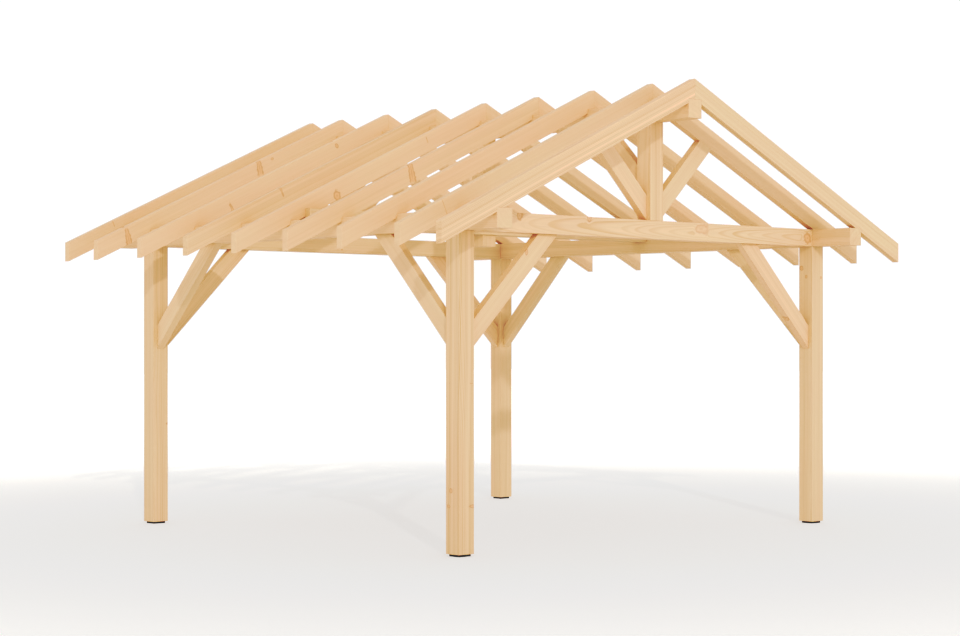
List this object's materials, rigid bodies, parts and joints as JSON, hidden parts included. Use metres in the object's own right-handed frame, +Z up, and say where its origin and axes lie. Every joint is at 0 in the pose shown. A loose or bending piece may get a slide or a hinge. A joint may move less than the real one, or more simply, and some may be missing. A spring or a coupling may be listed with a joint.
{
  "type": "apex roof shelter",
  "caption": "Open timber shelter frame: braced posts, eave plates, tie beams, king-post trusses and a ridge carry a bare apex roof of paired rafters.",
  "frame": {"origin": "on the floor, under the middle of the frame, at the bottom centre of the bounding box", "axes": "+Z up; Y along the ridge, with the front gable at -Y; X across the ridge, from the left eave at -X to the right eave at +X"},
  "size_m": [4.6, 4.42, 3.2161],
  "materials": {
    "heavy_timber": "planed, untreated softwood, satin",
    "brace_timber": "planed, untreated softwood, satin",
    "rafter_timber": "planed, untreated softwood, satin",
    "foot_pad": "matt, dark"
  },
  "bodies": {
    "root": {"foot_front_left": "foot_pad", "foot_front_right": "foot_pad", "foot_back_left": "foot_pad", "foot_back_right": "foot_pad", "post_front_left": "heavy_timber", "post_front_right": "heavy_timber", "post_back_left": "heavy_timber", "post_back_right": "heavy_timber", "plate_left": "heavy_timber", "plate_right": "heavy_timber", "tie_front": "heavy_timber", "tie_back": "heavy_timber", "king_post_front": "heavy_timber", "king_post_middle": "heavy_timber", "king_post_back": "heavy_timber", "ridge_beam": "heavy_timber", "strut_front_left": "brace_timber", "strut_front_right": "brace_timber", "strut_back_left": "brace_timber", "strut_back_right": "brace_timber", "tie_brace_front_left": "brace_timber", "tie_brace_front_right": "brace_timber", "tie_brace_back_left": "brace_timber", "tie_brace_back_right": "brace_timber", "plate_brace_front_left": "brace_timber", "plate_brace_front_right": "brace_timber", "plate_brace_back_left": "brace_timber", "plate_brace_back_right": "brace_timber", "ridge_brace_front": "brace_timber", "ridge_brace_back": "brace_timber", "rafter_left_1": "rafter_timber", "rafter_left_2": "rafter_timber", "rafter_left_3": "rafter_timber", "rafter_left_4": "rafter_timber", "rafter_left_5": "rafter_timber", "rafter_left_6": "rafter_timber", "rafter_left_7": "rafter_timber", "rafter_left_8": "rafter_timber", "rafter_left_9": "rafter_timber", "rafter_right_1": "rafter_timber", "rafter_right_2": "rafter_timber", "rafter_right_3": "rafter_timber", "rafter_right_4": "rafter_timber", "rafter_right_5": "rafter_timber", "rafter_right_6": "rafter_timber", "rafter_right_7": "rafter_timber", "rafter_right_8": "rafter_timber", "rafter_right_9": "rafter_timber", "middle_tie_front": "rafter_timber", "middle_tie_back": "rafter_timber"}
  },
  "joints": []
}
